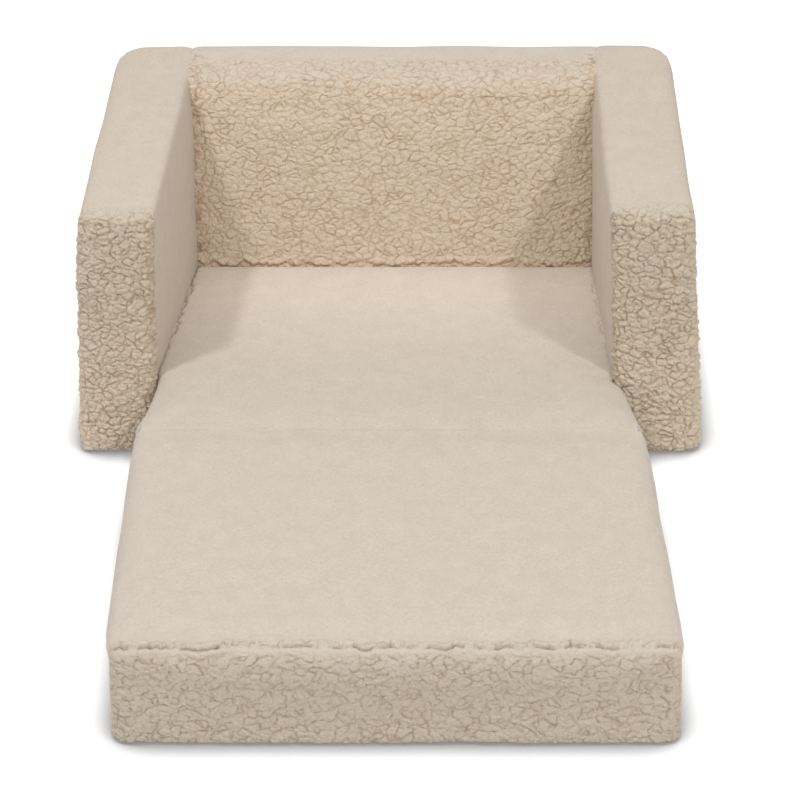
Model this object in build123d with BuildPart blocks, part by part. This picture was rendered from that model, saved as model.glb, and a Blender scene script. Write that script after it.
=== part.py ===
"""Kids' flip open sofa, lying open as a lounger.

Two foam block arms and a leaning back stand on the floor round a fixed seat slab. A second slab, the
leaf, is joined to the seat slab by a fabric fold along their top edges. It lies on the floor in front
of the sofa here, and folds up and over onto the seat. Each foam block is sewn into its own cover
panels, and two hidden zips close the covers.

Millimetres. X runs across the sofa, Y from the leaf's free end towards the back, and Z up. The origin
is on the floor under the middle of the open sofa.
"""
import math
import os

from build123d import *

# The frame, and the mattress that folds out of it
frame_width = 780
frame_depth = 485
frame_height = 345
arm_thickness = 97
back_top_thickness = 92
back_foot_thickness = 160
fold_height = 120
seat_overhang = 134
seat_drop = 34
leaf_end_rise = 10

# Covers
cover_thickness = 5
seam_inset = 6.5
back_seam_depth = 45

# How far the stuffed faces bow out beyond their edges
wall_crown = 3
frame_top_crown = 3
back_crown = 4
mattress_crown = 4

# Rounded edges and corners
edge_radius = 14
foot_radius = 10
rear_corner_radius = 65
back_edge_radius = 18
mattress_edge_radius = 8
mattress_corner_radius = 17
leaf_under_radius = 14

# Clearances between the blocks
cushion_fit = 0.3
fold_clearance = 0.3
leaf_side_clearance = 1.5
leaf_end_clearance = 12

# Fabric strip that bridges the fold
fold_strip_width = 7.6
fold_strip_thickness = 5

# Zips, in the back's rear panel and the leaf's hinge end panel
zip_height = 42
zip_end_margin = 40
tape_width = 11
tape_thickness = 0.8
tape_gap = 1.2
coil_width = 5.4
coil_height = 1.5
stop_length = 4
stop_height = 2.2
slot_clearance = 1
slider_length = 12
slider_wall = 0.9
slider_clearance = 0.3
bail_length = 7
bail_width = 2
bail_height = 1
bail_bar = 0.5

overrun = 5

# Places that follow from the sizes above
seat_rear_height = fold_height - seat_drop
leaf_end_height = fold_height + leaf_end_rise
gap_width = frame_width - 2 * arm_thickness
back_lean = (back_foot_thickness - back_top_thickness) / frame_height
seat_depth = frame_depth - back_foot_thickness + back_lean * seat_rear_height
leaf_length = seat_overhang + seat_depth - leaf_end_clearance
leaf_width = gap_width - 2 * leaf_side_clearance
total_depth = frame_depth + seat_overhang + leaf_length
rear_y = total_depth / 2
leaf_end_y = -total_depth / 2
arm_front_y = rear_y - frame_depth
fold_y = arm_front_y - seat_overhang
frame_middle_y = (arm_front_y + rear_y) / 2
zip_length = gap_width - 2 * zip_end_margin


def crown_radius(span, crown):
    """Radius of the ball whose cap is span across and stands crown proud of its rim."""
    return (span**2 / 4 + crown**2) / (2 * crown)


def back_face_y(height):
    """Where the back's leaning front face stands at a height above the floor."""
    return rear_y - back_foot_thickness + back_lean * height


def crown_ball(middle, out, span, crown, inset):
    """Ball that bows a face out: its surface touches middle, where the face looks along out."""
    radius = crown_radius(span, crown)
    with BuildPart() as ball:
        with Locations(Vector(*middle) - Vector(*out).normalized() * radius):
            Sphere(radius - inset, rotation=(90, 0, 0))
    return ball.part


def frame_crown(inset):
    """Slab across the whole frame, whose top bows up between the arm fronts and the rear face."""
    top = frame_height - inset
    with BuildPart() as crown:
        with BuildSketch(Plane.YZ):
            with BuildLine():
                bow = ThreePointArc(
                    (arm_front_y, top - frame_top_crown),
                    (frame_middle_y, top),
                    (rear_y, top - frame_top_crown),
                )
                Polyline(bow @ 1, (rear_y, 0), (arm_front_y, 0), bow @ 0)
            make_face()
        extrude(amount=frame_width / 2, both=True)
    return crown.part


def arm_plan(inset, height):
    """Right arm seen from above: bowed front and outer sides, and a large rear outer corner."""
    inner = gap_width / 2 + inset
    outer = frame_width / 2 - inset
    front = arm_front_y + inset
    rear = rear_y - inset
    with BuildSketch(Plane.XY.offset(height)) as plan:
        with BuildLine():
            front_side = ThreePointArc(
                (inner, front + wall_crown),
                ((inner + outer) / 2, front),
                (outer - wall_crown, front + wall_crown),
            )
            outer_side = ThreePointArc(
                front_side @ 1, (outer, frame_middle_y), (outer - wall_crown, rear)
            )
            Polyline(outer_side @ 1, (inner, rear), front_side @ 0)
        make_face()
        fillet(plan.vertices().group_by(Axis.Y)[0], edge_radius - inset)
        rear_corners = plan.vertices().group_by(Axis.Y)[-1]
        fillet(rear_corners.sort_by(Axis.X)[-1], rear_corner_radius - inset)
    return plan.sketch


def arm_form(inset):
    """Right arm: inset 0 is the face of its cover, and the cover's thickness is its foam."""
    with BuildPart() as form:
        extrude(arm_plan(inset, inset), amount=frame_height)
        add(frame_crown(inset), mode=Mode.INTERSECT)
        fillet(form.faces().sort_by(Axis.Z)[-1].edges(), edge_radius - inset)
        fillet(form.faces().sort_by(Axis.Z)[0].edges(), foot_radius - inset)
    return form.part


def back_form(inset):
    """Back, flush between the arms: a wedge in profile, bowed across its front, rounded at the top."""
    slant = inset * math.hypot(1, back_lean)
    rear = rear_y - inset
    middle = (0, back_face_y(frame_height / 2), frame_height / 2)
    with BuildPart() as form:
        with BuildSketch(Plane.YZ):
            Polygon(
                (rear, inset),
                (rear, frame_height),
                (back_face_y(frame_height) + slant, frame_height),
                (back_face_y(inset) + slant, inset),
                align=None,
            )
        extrude(amount=gap_width / 2, both=True)
        add(frame_crown(inset), mode=Mode.INTERSECT)
        add(
            crown_ball(middle, (0, -1, back_lean), gap_width, back_crown, inset),
            mode=Mode.INTERSECT,
        )
        top_edges = form.faces().sort_by(Axis.Z)[-1].edges()
        fillet(top_edges.sort_by(Axis.Y)[0], back_edge_radius - inset)
        top_edges = form.faces().sort_by(Axis.Z)[-1].edges()
        fillet(top_edges.sort_by(Axis.Y)[-1], edge_radius - inset)
        foot_edges = form.faces().sort_by(Axis.Z)[0].edges()
        fillet(foot_edges.sort_by(Axis.Y)[-1], foot_radius - inset)
    return form.part


def seat_plan(inset, height):
    """Seat slab seen from above. Its rear end runs on under the back, whose face cuts it off."""
    half = gap_width / 2 - cushion_fit - inset
    front = fold_y + fold_clearance + inset
    with BuildSketch(Plane.XY.offset(height)) as plan:
        with Locations((0, (front + rear_y) / 2)):
            Rectangle(2 * half, rear_y - front)
        fillet(plan.vertices().group_by(Axis.Y)[0], mattress_corner_radius - inset)
    return plan.sketch


def seat_form(inset):
    """Seat slab: level with the fold at its front and sinking towards the back."""
    rear = back_face_y(seat_rear_height) - cushion_fit
    length = rear - fold_y
    middle = (0, (fold_y + rear) / 2, (fold_height + seat_rear_height) / 2)
    with BuildPart() as form:
        extrude(seat_plan(inset, inset), amount=fold_height)
        add(
            crown_ball(middle, (0, seat_drop, length), gap_width, mattress_crown, inset),
            mode=Mode.INTERSECT,
        )
        rear_face = Plane(origin=(0, rear, seat_rear_height), z_dir=(0, -1, back_lean))
        split(bisect_by=rear_face, keep=Keep.TOP)
        top_edges = form.faces().sort_by(Axis.Z)[-1].edges()
        fillet(top_edges.sort_by(Axis.Y)[:-1], mattress_edge_radius - inset)
        foot_edges = form.faces().sort_by(Axis.Z)[0].edges()
        fillet(foot_edges.sort_by(Axis.Y)[:-1], foot_radius - inset)
    return form.part


def leaf_plan(inset, height):
    """Leaf seen from above: straight at the fold, and bowed at its sides and its free end."""
    half = leaf_width / 2 - inset
    end = leaf_end_y + inset
    hinge = fold_y - fold_clearance - inset
    middle_y = (end + hinge) / 2
    with BuildSketch(Plane.XY.offset(height)) as plan:
        with BuildLine():
            right_side = ThreePointArc(
                (half - wall_crown, hinge),
                (half, middle_y),
                (half - wall_crown, end + wall_crown),
            )
            end_side = ThreePointArc(
                right_side @ 1, (0, end), (wall_crown - half, end + wall_crown)
            )
            left_side = ThreePointArc(
                end_side @ 1, (-half, middle_y), (wall_crown - half, hinge)
            )
            Line(left_side @ 1, right_side @ 0)
        make_face()
        fillet(plan.vertices(), mattress_corner_radius - inset)
    return plan.sketch


def leaf_crown(inset):
    """Ball that bows the leaf's top, which rises from just under the fold to the thick free end."""
    middle = (0, (leaf_end_y + fold_y) / 2, fold_height - fold_clearance + leaf_end_rise / 2)
    return crown_ball(middle, (0, leaf_end_rise, leaf_length), leaf_width, mattress_crown, inset)


def leaf_form(inset):
    """Leaf: a crowned slab whose under side, the seat when it is closed, has a larger rounding."""
    with BuildPart() as form:
        extrude(leaf_plan(inset, inset), amount=leaf_end_height)
        add(leaf_crown(inset), mode=Mode.INTERSECT)
        fillet(form.faces().sort_by(Axis.Z)[-1].edges(), mattress_edge_radius - inset)
        fillet(form.faces().sort_by(Axis.Z)[0].edges(), leaf_under_radius - inset)
    return form.part


def cover_of(form, foam):
    """What is left of a block round its foam: its whole cover before it is cut into panels."""
    with BuildPart() as cover:
        add(form)
        add(foam, mode=Mode.SUBTRACT)
    return cover.part


def panels_of(cover, plan, height):
    """The cover's top panel, its walls and its under panel, cut apart by the plan inside the seams."""
    with BuildPart() as top:
        extrude(plan(seam_inset, height / 2), amount=height)
        add(cover, mode=Mode.INTERSECT)
    with BuildPart() as under:
        extrude(plan(seam_inset, -overrun), amount=height / 2)
        add(cover, mode=Mode.INTERSECT)
    with BuildPart() as walls:
        add(cover)
        extrude(plan(seam_inset, -overrun), amount=height + 2 * overrun, mode=Mode.SUBTRACT)
    return top.part, walls.part, under.part


def between(piece, *cuts):
    """What is left of a piece in front of every one of the cutting planes."""
    with BuildPart() as kept:
        add(piece)
        for cut in cuts:
            split(bisect_by=cut, keep=Keep.TOP)
    return kept.part


def save(piece, name):
    """Labels a finished piece and writes it as the node of that name."""
    piece.label = name
    export_step(piece, f"parts/{name}.step")
    print(name, len(piece.solids()), round(piece.volume), piece.is_valid)


os.makedirs("parts", exist_ok=True)

# Arms
right_arm = arm_form(0)
left_arm = mirror(right_arm, about=Plane.YZ)

with BuildPart() as right_arm_foam:
    add(arm_form(cover_thickness))

arm_top, arm_walls, arm_under = panels_of(
    cover_of(right_arm, right_arm_foam.part), arm_plan, frame_height
)
arm_front_seam = Plane(origin=(0, arm_front_y + edge_radius + wall_crown, 0), z_dir=(0, -1, 0))
arm_side_seam = Plane(origin=(gap_width / 2 + edge_radius, 0, 0), z_dir=(-1, 0, 0))

for name, piece in {
    "foam": right_arm_foam.part,
    "top_panel": arm_top,
    "front_panel": between(arm_walls, arm_front_seam),
    "inner_panel": between(arm_walls, -arm_front_seam, arm_side_seam),
    "outer_panel": between(arm_walls, -arm_front_seam, -arm_side_seam),
    "base_cloth": arm_under,
}.items():
    save(piece, f"right_arm_{name}")
    save(mirror(piece, about=Plane.YZ), f"left_arm_{name}")

# Back, with its rear panel open behind the zip
rear_zip_plane = Plane(
    origin=(0, rear_y - cover_thickness, zip_height), x_dir=(1, 0, 0), z_dir=(0, 1, 0)
)
leaf_zip_plane = Plane(
    origin=(0, fold_y - fold_clearance - cover_thickness, zip_height),
    x_dir=(1, 0, 0),
    z_dir=(0, 1, 0),
)


def zip_slot(plane):
    """Opening in a panel that shows its zip."""
    with BuildPart(plane) as slot:
        Box(
            zip_length + 2 * slot_clearance,
            2 * tape_width + tape_gap + 2 * slot_clearance,
            2 * cover_thickness + 2 * overrun,
        )
    return slot.part


with BuildPart() as back_foam:
    add(back_form(cover_thickness))

back_cover = cover_of(back_form(0), back_foam.part)
back_front_seam = Plane(
    origin=(0, back_face_y(frame_height) + back_seam_depth, frame_height),
    z_dir=(0, -1, back_lean),
)
back_rear_seam = Plane(origin=(0, rear_y - seam_inset, 0), z_dir=(0, 1, 0))
back_foot_seam = Plane.XY.offset(seam_inset)

with BuildPart() as back_rear_panel:
    add(between(back_cover, back_rear_seam, back_foot_seam))
    add(zip_slot(rear_zip_plane), mode=Mode.SUBTRACT)

save(back_foam.part, "back_foam")
save(between(back_cover, back_front_seam, back_foot_seam), "back_front_panel")
save(between(back_cover, -back_front_seam, -back_rear_seam, back_foot_seam), "back_top_panel")
save(back_rear_panel.part, "back_rear_panel")
save(between(back_cover, -back_foot_seam), "back_base_cloth")

# Seat slab
with BuildPart() as seat_foam:
    add(seat_form(cover_thickness))

seat_top, seat_walls, seat_under = panels_of(
    cover_of(seat_form(0), seat_foam.part), seat_plan, fold_height
)
seat_front_seam = Plane(
    origin=(0, fold_y + fold_clearance + mattress_corner_radius, 0), z_dir=(0, -1, 0)
)
seat_right_panel = between(seat_walls, -seat_front_seam, Plane.YZ)

save(seat_foam.part, "seat_foam")
save(seat_top, "seat_top_panel")
save(between(seat_walls, seat_front_seam), "seat_front_panel")
save(seat_right_panel, "seat_right_panel")
save(mirror(seat_right_panel, about=Plane.YZ), "seat_left_panel")
save(seat_under, "seat_base_cloth")

# Leaf
with BuildPart() as leaf_foam:
    add(leaf_form(cover_thickness))

leaf_top, leaf_walls, leaf_under = panels_of(
    cover_of(leaf_form(0), leaf_foam.part), leaf_plan, leaf_end_height
)
leaf_end_seam = Plane(
    origin=(0, leaf_end_y + mattress_corner_radius + wall_crown, 0), z_dir=(0, -1, 0)
)
leaf_hinge_seam = Plane(
    origin=(0, fold_y - fold_clearance - mattress_corner_radius, 0), z_dir=(0, 1, 0)
)
leaf_right_panel = between(leaf_walls, -leaf_end_seam, -leaf_hinge_seam, Plane.YZ)

with BuildPart() as leaf_hinge_panel:
    add(between(leaf_walls, leaf_hinge_seam))
    add(zip_slot(leaf_zip_plane), mode=Mode.SUBTRACT)

save(leaf_foam.part, "leaf_foam")
save(leaf_top, "leaf_top_panel")
save(leaf_under, "leaf_under_panel")
save(between(leaf_walls, leaf_end_seam), "leaf_end_panel")
save(leaf_hinge_panel.part, "leaf_hinge_panel")
save(leaf_right_panel, "leaf_right_panel")
save(mirror(leaf_right_panel, about=Plane.YZ), "leaf_left_panel")

# Fabric strip that lies in the groove between the two slabs, along the fold
with BuildPart() as fold_strip:
    with Locations((0, fold_y, fold_height)):
        Box(
            leaf_width - 2 * mattress_corner_radius,
            fold_strip_width,
            fold_height,
            align=(Align.CENTER, Align.CENTER, Align.MAX),
        )
    add(leaf_crown(0), mode=Mode.INTERSECT)
    add(leaf_crown(fold_strip_thickness), mode=Mode.SUBTRACT)
    add(seat_form(0), mode=Mode.SUBTRACT)
    add(leaf_form(-fold_clearance), mode=Mode.SUBTRACT)

save(fold_strip.part, "fold_strip")


# Zips: two tapes on the foam, a coil between them with a stop at each end, and a slider on the coil
def zip_tape(plane, side):
    """One tape, above the coil at side 1 and below it at side -1."""
    with BuildPart(plane) as tape:
        with Locations((0, -side * (tape_gap + tape_width) / 2)):
            Box(
                zip_length,
                tape_width,
                tape_thickness,
                align=(Align.CENTER, Align.CENTER, Align.MIN),
            )
    return tape.part


def zip_coil(plane):
    """Closed coil as one low rounded bead, and the stops that end it."""
    with BuildPart(plane.offset(tape_thickness)) as coil:
        Box(
            zip_length,
            coil_width,
            coil_height,
            align=(Align.CENTER, Align.CENTER, Align.MIN),
        )
        top_edges = coil.faces().sort_by(Axis.Y)[-1].edges().filter_by(Axis.X)
        fillet(top_edges, coil_height / 2)
        with Locations(
            ((zip_length - stop_length) / 2, 0), ((stop_length - zip_length) / 2, 0)
        ):
            Box(
                stop_length,
                coil_width,
                stop_height,
                align=(Align.CENTER, Align.CENTER, Align.MIN),
            )
    return coil.part


def zip_slider(plane):
    """Slider without a tab: a channel that straddles the coil, with a small bail on its roof."""
    channel_width = coil_width + 2 * slider_clearance
    place = (zip_length - slider_length) / 2 - stop_length - slider_clearance
    with BuildPart(plane.offset(tape_thickness + slider_clearance)) as slider:
        with Locations((place, 0)):
            Box(
                slider_length,
                channel_width + 2 * slider_wall,
                coil_height + slider_wall,
                align=(Align.CENTER, Align.CENTER, Align.MIN),
            )
            fillet(slider.edges().filter_by(Axis.Y), slider_wall)
            Box(
                slider_length,
                channel_width,
                coil_height,
                align=(Align.CENTER, Align.CENTER, Align.MIN),
                mode=Mode.SUBTRACT,
            )
    roof = tape_thickness + slider_clearance + coil_height + slider_wall
    with BuildPart(plane.offset(roof)) as bail:
        with Locations((place, 0)):
            Box(
                bail_length,
                bail_width,
                bail_height,
                align=(Align.CENTER, Align.CENTER, Align.MIN),
            )
            Box(
                bail_length - 2 * bail_bar,
                bail_width,
                bail_height - bail_bar,
                align=(Align.CENTER, Align.CENTER, Align.MIN),
                mode=Mode.SUBTRACT,
            )
    with BuildPart() as whole:
        add(slider.part)
        add(bail.part)
    return whole.part


for name, plane in {"rear_zip": rear_zip_plane, "leaf_zip": leaf_zip_plane}.items():
    save(zip_tape(plane, 1), f"{name}_upper_tape")
    save(zip_tape(plane, -1), f"{name}_lower_tape")
    save(zip_coil(plane), f"{name}_coil")
    save(zip_slider(plane), f"{name}_slider")

slide_travel = zip_length - 2 * stop_length - slider_length - 2 * slider_clearance
print("fold line", 0, fold_y, fold_height)
print("leaf", leaf_width, leaf_length, "total depth", total_depth)
print("slider travel", slide_travel)
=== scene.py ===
"""Kids' flip open sofa, dressed in curly sherpa and short fleece over its foam blocks."""
import itertools
import math

import bmesh
import bpy
import numpy as np
from bpy.props import FloatProperty, FloatVectorProperty, PointerProperty
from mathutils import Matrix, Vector


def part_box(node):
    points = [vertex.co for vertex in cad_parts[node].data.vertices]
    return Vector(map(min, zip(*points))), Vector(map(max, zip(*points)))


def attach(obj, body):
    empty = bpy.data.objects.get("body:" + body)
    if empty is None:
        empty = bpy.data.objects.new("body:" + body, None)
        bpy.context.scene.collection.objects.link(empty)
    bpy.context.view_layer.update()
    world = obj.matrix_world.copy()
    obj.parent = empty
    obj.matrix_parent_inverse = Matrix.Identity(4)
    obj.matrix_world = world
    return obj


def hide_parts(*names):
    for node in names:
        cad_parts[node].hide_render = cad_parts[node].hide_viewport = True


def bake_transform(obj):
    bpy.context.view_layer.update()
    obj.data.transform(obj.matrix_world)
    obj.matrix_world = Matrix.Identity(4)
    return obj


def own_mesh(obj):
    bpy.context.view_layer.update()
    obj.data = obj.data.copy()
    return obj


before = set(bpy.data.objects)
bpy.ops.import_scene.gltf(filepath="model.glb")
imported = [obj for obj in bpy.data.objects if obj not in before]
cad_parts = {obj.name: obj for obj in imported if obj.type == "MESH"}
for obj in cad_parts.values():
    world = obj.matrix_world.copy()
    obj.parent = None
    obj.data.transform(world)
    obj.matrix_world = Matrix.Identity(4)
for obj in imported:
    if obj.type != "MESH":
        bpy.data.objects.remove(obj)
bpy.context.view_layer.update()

bl_info = {
    "name": "Kids' flip open sofa",
    "version": (1, 0, 0),
    "blender": (4, 5, 0),
    "location": "View3D > Sidebar > Sofa",
    "description": "Builds the stuffed blocks, covers and photograph's view of a flip open sofa",
    "category": "Object",
}

MM = 0.001

# Places in the part's frame
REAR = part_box("left_arm_outer_panel")[1][1]
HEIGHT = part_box("left_arm_outer_panel")[1][2]
ARM_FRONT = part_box("left_arm_front_panel")[0][1]
FOLD = 0.5 * (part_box("seat_front_panel")[0][1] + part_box("leaf_hinge_panel")[1][1])
LEAF_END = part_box("leaf_end_panel")[0][1]
ZIP_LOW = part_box("rear_zip_lower_tape")[0][2]
ZIP_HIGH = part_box("rear_zip_upper_tape")[1][2]

# Sizes that several pieces share
FOLD_HEIGHT = 120 * MM
SEAT_REAR_HEIGHT = 83 * MM
FLOOR_GAP = 0.4 * MM
JOINT_GAP = 0.4 * MM
BASE_BELOW = 2 * MM
ZIP_DEPTH = 5.3 * MM
CURL = 10.4 * MM


# Sizes a user would change
class SofaSizes(bpy.types.PropertyGroup):
    """Sizes of the stuffed blocks, where the photograph shows more than the plain solids hold."""

    edge_radius: FloatProperty(
        name="Edge radius", description="Rounding of the stuffed edges", default=14 * MM, unit="LENGTH",
    )
    foot_radius: FloatProperty(
        name="Foot radius", description="Rounding of the edges on the floor", default=5 * MM, unit="LENGTH",
    )
    rear_corner: FloatProperty(
        name="Rear corner radius", description="Rounding of the outer rear corners seen from above",
        default=62 * MM, unit="LENGTH",
    )
    leaf_corner: FloatProperty(
        name="Leaf corner radius", description="Rounding of the leaf's free corners seen from above",
        default=22 * MM, unit="LENGTH",
    )
    leaf_end_height: FloatProperty(
        name="Leaf end height", description="Height of the leaf's free end",
        default=133 * MM, unit="LENGTH",
    )
    leaf_skew: FloatProperty(
        name="Leaf skew", description="How far the leaf's free end lies to the right",
        default=18.5 * MM, unit="LENGTH",
    )
    mesh_size: FloatProperty(
        name="Mesh size", description="Size of the faces before they are subdivided",
        default=7 * MM, unit="LENGTH",
    )
    fullness: FloatProperty(
        name="Fullness", description="How far the filling may bow a face out",
        default=3 * MM, unit="LENGTH",
    )


class SofaColours(bpy.types.PropertyGroup):
    """Colours of the two piles, at their lightest."""

    fleece: FloatVectorProperty(
        name="Fleece", description="Short smooth pile", default=(0.585, 0.533, 0.473), subtype="COLOR",
        size=3, min=0, max=1,
    )
    arm_sherpa: FloatVectorProperty(
        name="Arm sherpa", description="Curly pile of the arm fronts", default=(0.56, 0.486, 0.396),
        subtype="COLOR", size=3, min=0, max=1,
    )
    back_sherpa: FloatVectorProperty(
        name="Back sherpa", description="Curly pile of the back", default=(0.665, 0.56, 0.455),
        subtype="COLOR", size=3, min=0, max=1,
    )
    leaf_sherpa: FloatVectorProperty(
        name="Leaf sherpa", description="Curly pile of the leaf's free end", default=(0.525, 0.465, 0.388),
        subtype="COLOR", size=3, min=0, max=1,
    )


# Shader graphs
class Socket:
    """An output in a material's graph, which adds to and multiplies with its like or a number."""

    def __init__(self, graph, output):
        self.graph = graph
        self.output = output

    def math(self, operation, *values):
        return self.graph.node("ShaderNodeMath", {"operation": operation}, *values)

    def __add__(self, other):
        return self.math("ADD", self, other)

    def __radd__(self, other):
        return self.math("ADD", other, self)

    def __mul__(self, other):
        return self.math("MULTIPLY", self, other)

    def __rmul__(self, other):
        return self.math("MULTIPLY", other, self)


class Graph:
    """A material's graph of nodes."""

    mix_inputs, mix_output = (6, 7), 2

    def __init__(self, name):
        self.material = bpy.data.materials.new(name)
        self.material.use_nodes = True
        self.tree = self.material.node_tree
        self.tree.nodes.clear()

    def feed(self, target, value):
        if isinstance(value, Socket):
            self.tree.links.new(value.output, target)
        else:
            target.default_value = value

    def node(self, kind, settings, *values, out=0, **named):
        """Adds a node: its settings first, then its inputs in order or by name."""
        node = self.tree.nodes.new(kind)
        for key, value in settings.items():
            setattr(node, key, value)
        for target, value in zip(node.inputs, values):
            if value is not None:
                self.feed(target, value)
        for key, value in named.items():
            self.feed(node.inputs[key.replace("_", " ")], value)
        return Socket(self, node.outputs[out]) if len(node.outputs) else None

    def mix(self, share, first, second):
        """Colour between two colours, on the Mix node's sockets for colours."""
        node = self.tree.nodes.new("ShaderNodeMix")
        node.data_type = "RGBA"
        self.feed(node.inputs["Factor"], share)
        for number, colour in zip(self.mix_inputs, (first, second)):
            self.feed(node.inputs[number], colour)
        return Socket(self, node.outputs[self.mix_output])

    def range(self, value, low, high, to_low=0.0, to_high=1.0):
        """Value's place between low and high, held within them."""
        return self.node(
            "ShaderNodeMapRange", {"clamp": True, "interpolation_type": "SMOOTHSTEP"},
            value, low, high, to_low, to_high,
        )

    def place(self, *stretch):
        """Place on the piece, stretched along its axes."""
        coordinates = self.node("ShaderNodeTexCoord", {}, out="Object")
        if not stretch:
            return coordinates
        return self.node("ShaderNodeVectorMath", {"operation": "MULTIPLY"}, coordinates, stretch)

    def attribute(self, name):
        return self.node("ShaderNodeAttribute", {"attribute_name": name}, out="Fac")

    def lighten(self, colour, factor):
        return self.node("ShaderNodeVectorMath", {"operation": "SCALE"}, colour, Scale=factor)

    def tints(self, share, colour, first, second):
        """Between two tints of a colour, each a factor for every channel."""
        return self.mix(share, shade(colour, first), shade(colour, second))

    def noise(self, scale, detail, place, roughness=0.5):
        return self.node(
            "ShaderNodeTexNoise", {}, Vector=place, Scale=scale, Detail=detail, Roughness=roughness,
        )

    def finish(self, shader):
        self.node("ShaderNodeOutputMaterial", {}, shader)
        return self.material


def shade(colour, factor):
    """Linear colour scaled by a factor for each channel, as a shader's four numbers."""
    return (*[c * f for c, f in zip(colour, factor)], 1.0)


def pile_of(graph, fibres, tufts, base, strength, distance):
    """Dull pile with a soft sheen, its fibres and tufts in a bump of the given strength and distance."""
    bump = graph.node(
        "ShaderNodeBump", {}, Strength=strength, Distance=distance, Height=fibres * 0.3 + tufts
    )
    return graph.finish(graph.node(
        "ShaderNodeBsdfPrincipled", {}, Base_Color=base, Roughness=0.96, Normal=bump,
        Sheen_Weight=0.15, Sheen_Roughness=0.6, Specular_IOR_Level=0.1,
    ))


def fleece(name, colour):
    """Short smooth pile: fine mottled fibres that lie in small changing directions."""
    graph = Graph(name)
    place = graph.place()
    dark, brushed = graph.attribute("crack"), graph.attribute("brushed")
    fibres = graph.noise(900, 3, graph.place(1, 0.55, 1), 0.62)
    flecks = graph.noise(260, 4, place, 0.6)
    patches = graph.noise(38, 3, place, 0.55)
    clouds = graph.noise(9, 2, place)
    tone = flecks * 0.45 + fibres * 0.3 + patches * 0.25
    base = graph.tints(graph.range(tone, 0.36, 0.64), colour, (0.9, 0.885, 0.86), (1.03, 1.03, 1.03))
    base = graph.mix(graph.range(clouds, 0.35, 0.7, 0.0, 0.2), base, shade(colour, (0.94, 0.925, 0.9)))
    # Painted light: lighter where the seat's rear stands for the light bounced onto it from the back and arms
    base = graph.lighten(base, 1 + 0.25 * brushed)
    # Painted shade: darker and warmer in the seams' grooves, the crevices along pressed edges and the curly
    # pile's cracks near its border
    base = graph.mix(dark * 0.8, base, shade(colour, (0.5, 0.39, 0.28)))
    return pile_of(graph, fibres, flecks * 0.8 + patches * 0.9, base, 0.5, 1.6 * MM)


def sherpa(name, colour, fleece_colour, crack, foot=0.0):
    """Curly pile: painted shade, darker and warmer, down in the cracks between its curls and where it lies
    low, and near the fleece's colour where it meets that along its top seam, partly painted light on its
    upper part.
    Towards the floor it lightens by the foot's share, painted light that makes up for the shade low down."""
    foot_reach = 0.26
    graph = Graph(name)
    place = graph.place()
    dark, lift, top = (graph.attribute(key) for key in ("crack", "lift", "top_seam"))
    fibres = graph.noise(520, 3, place, 0.6)
    tufts = graph.noise(210, 2, place)
    patches = graph.noise(26, 3, place)
    base = graph.tints(graph.range(fibres, 0.3, 0.7), colour, (0.97, 0.965, 0.95), (1.03, 1.03, 1.03))
    # Near the top seam the curly pile takes the fleece's colour: partly the blend into the fleece, partly
    # painted light on its upper part
    base = graph.mix(top * 0.75, base, shade(fleece_colour, (1, 0.99, 0.97)))
    # Painted shade: darker and warmer where the pile lies low between its curls
    base = graph.mix(graph.range(lift, 0.1, 0.9, 0.4, 0.0), base, shade(colour, (0.84, 0.77, 0.68)))
    # Painted shade: darker and warmer down in the cracks
    base = graph.mix(dark * crack, base, shade(colour, (0.6, 0.46, 0.32)))
    base = graph.mix(graph.range(patches, 0.4, 0.75, 0.0, 0.3), base, shade(colour, (0.93, 0.91, 0.88)))
    height = graph.node("ShaderNodeSeparateXYZ", {}, place, out="Z")
    # Painted light: the curly pile lightens towards the floor, making up for the shade low down beside the
    # leaf
    base = graph.lighten(base, 1 + graph.range(height, 0.0, foot_reach, foot, 0.0))
    return pile_of(graph, fibres, tufts, base, 0.8, 2.8 * MM)


def plain(graph, base, roughness, strength, distance, height):
    """Finish without a pile's sheen, in a bump of the given strength and distance."""
    bump = graph.node("ShaderNodeBump", {}, Strength=strength, Distance=distance, Height=height)
    return graph.finish(
        graph.node("ShaderNodeBsdfPrincipled", {}, Base_Color=base, Roughness=roughness, Normal=bump)
    )


def base_cloth(name, colour):
    """Thin bonded cloth under the blocks, with a close grid of pressed dots."""
    graph = Graph(name)
    place = graph.place()
    dots = graph.node("ShaderNodeTexVoronoi", {}, Vector=place, Scale=330.0, Randomness=0.25, out="Distance")
    fibres = graph.noise(240, 4, place, 0.65)
    base = graph.tints(graph.range(fibres, 0.3, 0.7), colour, (0.86, 0.86, 0.86), (1, 1, 1))
    base = graph.mix(graph.range(dots, 0.1, 0.32, 0.35, 0.0), base, shade(colour, (0.7, 0.7, 0.7)))
    return plain(graph, base, 0.85, 0.5, 0.6 * MM, dots + fibres * 0.4)


def zip_tape(name, colour):
    """Woven tape with fine ribs along its length."""
    graph = Graph(name)
    ribs = graph.node(
        "ShaderNodeTexWave", {"bands_direction": "Z"}, Vector=graph.place(), Scale=190.0, Distortion=0.6,
        out="Fac",
    )
    threads = graph.noise(1100, 2, graph.place(0.4, 1, 1), 0.6)
    base = graph.tints(graph.range(threads, 0.3, 0.7), colour, (0.84, 0.83, 0.8), (1.04, 1.04, 1.04))
    base = graph.mix(graph.range(ribs, 0.1, 0.5, 0.25, 0.0), base, shade(colour, (0.75, 0.73, 0.7)))
    return plain(graph, base, 0.8, 0.6, 0.4 * MM, ribs + threads * 0.5)


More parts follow.
